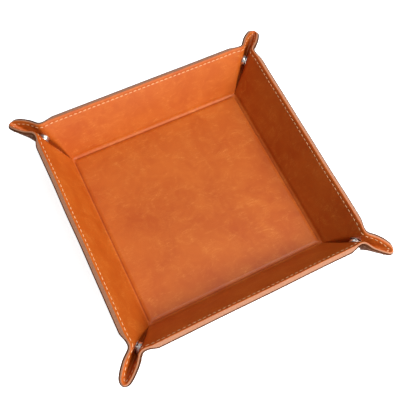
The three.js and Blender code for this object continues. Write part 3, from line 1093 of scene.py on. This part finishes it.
NICKEL = nickel_plate()

# %% Turned pieces
SNAP_DISTANCE = 29.0  # from the floor corner, in the flat sheet
SNAP_DIRECTION = 118.5
TURNED_SIDES = 56
TURNED_WELD = 1e-5  # in millimetres, like the profiles
NICKEL_SHARP = math.radians(35)


def snap_seat(side, end):
    """A matrix whose Z axis leaves the mirror plane through the snap, and the lining's height."""
    angle = math.radians(SNAP_DIRECTION)
    x = end * (HALF_FLOOR - SNAP_DISTANCE * math.cos(angle))
    flat = np.array([[x, HALF_FLOOR + SNAP_DISTANCE * math.sin(angle)]])
    place = fold(flat, np.zeros(1), side)[0][0]
    corner = turn_flat(np.array([[end * HALF_FLOOR, HALF_FLOOR]]), sheet_turn(side))[0]
    out = Vector((*corner, 0)).normalized()
    aside = Vector((-out.y, out.x, 0))
    height = Vector((*place[:2], 0)).dot(aside)
    if height < 0:
        aside, height = -aside, -height
    foot = Vector(place) - aside * height
    axes = Matrix((out, aside.cross(out), aside)).transposed().to_4x4()
    return Matrix.Translation(foot) @ axes, height


def turned_piece(name, profile, seat):
    """Sweeps a closed profile of (radius, height) points round the seat's axis."""
    mesh = bpy.data.meshes.new(name)
    work = bmesh.new()
    rings = []
    for i in range(TURNED_SIDES):
        swing = 2 * math.pi * i / TURNED_SIDES
        rings.append([work.verts.new((r * math.cos(swing), r * math.sin(swing), h)) for r, h in profile])
    for i in range(TURNED_SIDES):
        here, there = rings[i], rings[(i + 1) % TURNED_SIDES]
        for j in range(len(profile)):
            k = (j + 1) % len(profile)
            if profile[j][0] > 0 or profile[k][0] > 0:
                work.faces.new((here[j], there[j], there[k], here[k]))
    bmesh.ops.remove_doubles(work, verts=work.verts, dist=TURNED_WELD)
    bmesh.ops.dissolve_degenerate(work, edges=work.edges, dist=TURNED_WELD)
    bmesh.ops.recalc_face_normals(work, faces=work.faces)
    bmesh.ops.transform(work, matrix=Matrix.Scale(MM, 4) @ seat, verts=work.verts)
    work.to_mesh(mesh)
    work.free()
    mesh.shade_smooth()
    mesh.set_sharp_from_angle(angle=NICKEL_SHARP)
    mesh.materials.append(NICKEL)
    piece = bpy.data.objects.new(name, mesh)
    bpy.context.scene.collection.objects.link(piece)
    return piece


def arc(centre, radius, first, last, steps=5):
    """Points of a round corner in a profile, by angles in degrees."""
    angles = np.radians(np.linspace(first, last, steps))
    return [(centre[0] + radius * math.cos(a), centre[1] + radius * math.sin(a)) for a in angles]


# %% Profiles
CAP_RADIUS = 4.6
RING_RADIUS = 4.2
SINK = 0.3  # the leather is pressed in this far under a flange
LAP = 0.1  # and this far under a cap or a post
STEM_DEPTH = 1.5  # the stems go this deep into the leather
CAP_STEM = 1.6
POST_STEM = 1.4
ROLLED = 0.3  # radius of a rolled rim
DOME_RISE = 1.15
FLANGE_ROUND = 0.25
MOUTH = -0.55  # the socket's mouth lies this far beyond the mirror plane
RECESS = (2.3, 0.75)  # radius and height of the socket's recess
BALL = (1.45, -0.1)  # centre of the round of the stud's ball
BALL_ROUND = 0.5
BALL_HOLE = 0.9


def stem(radius, outside):
    """The start of a cap's or a post's profile, from the axis to under its head."""
    foot = outside - STEM_DEPTH
    return [(0, foot), (radius, foot), (radius, outside - LAP)]


def cap_profile(outside):
    """A low dome with a rolled rim."""
    base = outside - LAP
    rim = arc((CAP_RADIUS - ROLLED, base + ROLLED), ROLLED, -90, 60, 6)
    width, rise_over = CAP_RADIUS - 0.5, DOME_RISE - 0.5
    swing = np.radians(np.linspace(75, 0, 9))
    top = [(width * math.sin(a), base + 0.5 + rise_over * math.cos(a)) for a in swing]
    return stem(CAP_STEM, outside) + rim + top


def post_profile(outside):
    """A flat head with a rolled rim and the hollow end of the rivet in its middle."""
    base = outside - LAP
    head = arc((CAP_RADIUS - ROLLED, base + ROLLED), ROLLED, -90, 80, 6)
    rivet = [(2.6, base + 0.72), (2.1, base + 0.95), (1.6, base + 0.95)]
    hollow = [(1.2, base + 0.5), (0, base + 0.45)]
    return stem(POST_STEM, outside) + head + rivet + hollow


def flange(inside):
    """The start of a socket's or a stud's profile, which lies in the leather."""
    edge = arc((CAP_RADIUS - 0.35, inside - 0.05), FLANGE_ROUND, 0, 90, 4)
    return [(0, inside + SINK), (CAP_RADIUS - 0.2, inside + SINK)] + edge


def socket_profile(inside):
    """A ring with a rolled mouth and a recess for the stud."""
    ring = [(RING_RADIUS - 0.25, inside - 0.1)]
    lip = arc((RING_RADIUS - 0.25 - ROLLED, MOUTH + ROLLED), ROLLED, 0, -180, 7)
    return flange(inside) + ring + lip + [RECESS, (0, RECESS[1])]


def stud_profile(inside):
    """A neck and the ball that clicks into the socket, hollow at its end."""
    neck = [(2.0, inside - 0.15), (1.6, inside - 0.4)]
    ball = arc(BALL, BALL_ROUND, 50, -90, 7)
    return flange(inside) + neck + ball + [(BALL_HOLE, -0.55), (BALL_HOLE, 0.1), (0, 0.1)]


SOCKET_HALF = (("cap", cap_profile, True), ("socket", socket_profile, False))
STUD_HALF = (("post", post_profile, True), ("stud", stud_profile, False))
SNAPS = {"north": SOCKET_HALF, "east": STUD_HALF, "south": SOCKET_HALF, "west": STUD_HALF}

for side, pieces in SNAPS.items():
    for corner, end in zip(SIDES[side], (1, -1)):
        seat, inside = snap_seat(side, end)
        for kind, profile, is_outside in pieces:
            height = inside + LINING + BACKING if is_outside else inside
            piece = turned_piece(f"snap_{corner}_{kind}_nickel", profile(height), seat)
            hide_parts(f"snap_{corner}_{kind}")
            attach(piece, f"ear_{corner}_{side}")
print("the lining lies", round(inside, 2), "mm from the mirror plane at the snap")

# %% [markdown]
# ## The floor's board
# The board inside the floor can't be seen once the leather is on, and its shape is right as it
# is, so the frame's own node stays and only gets its finish: grey-brown fibre board.


# %% Fibre board
def fibre_board():
    """Pressed fibres in many browns, quite matt."""
    finish = Finish("fibre_board")
    place = finish.add("ShaderNodeTexCoord").outputs["Object"]
    flecks = finish.noise(place, 700.0, 5.0, 0.75)
    finish.link("Base Color", finish.ramp(flecks, [(0.3, (0.42, 0.25, 0.14)), (0.7, (0.60, 0.40, 0.25))]))
    finish.link("Roughness", finish.spread(flecks, 0.8, 0.95))
    finish.bump(flecks, 0.3, 0.0002)
    return finish.material


floor_board = frame["nodes"]["floor_board"]
for slot in floor_board.material_slots:
    slot.material = fibre_board()
print("the floor board has", len(floor_board.material_slots), "finish")
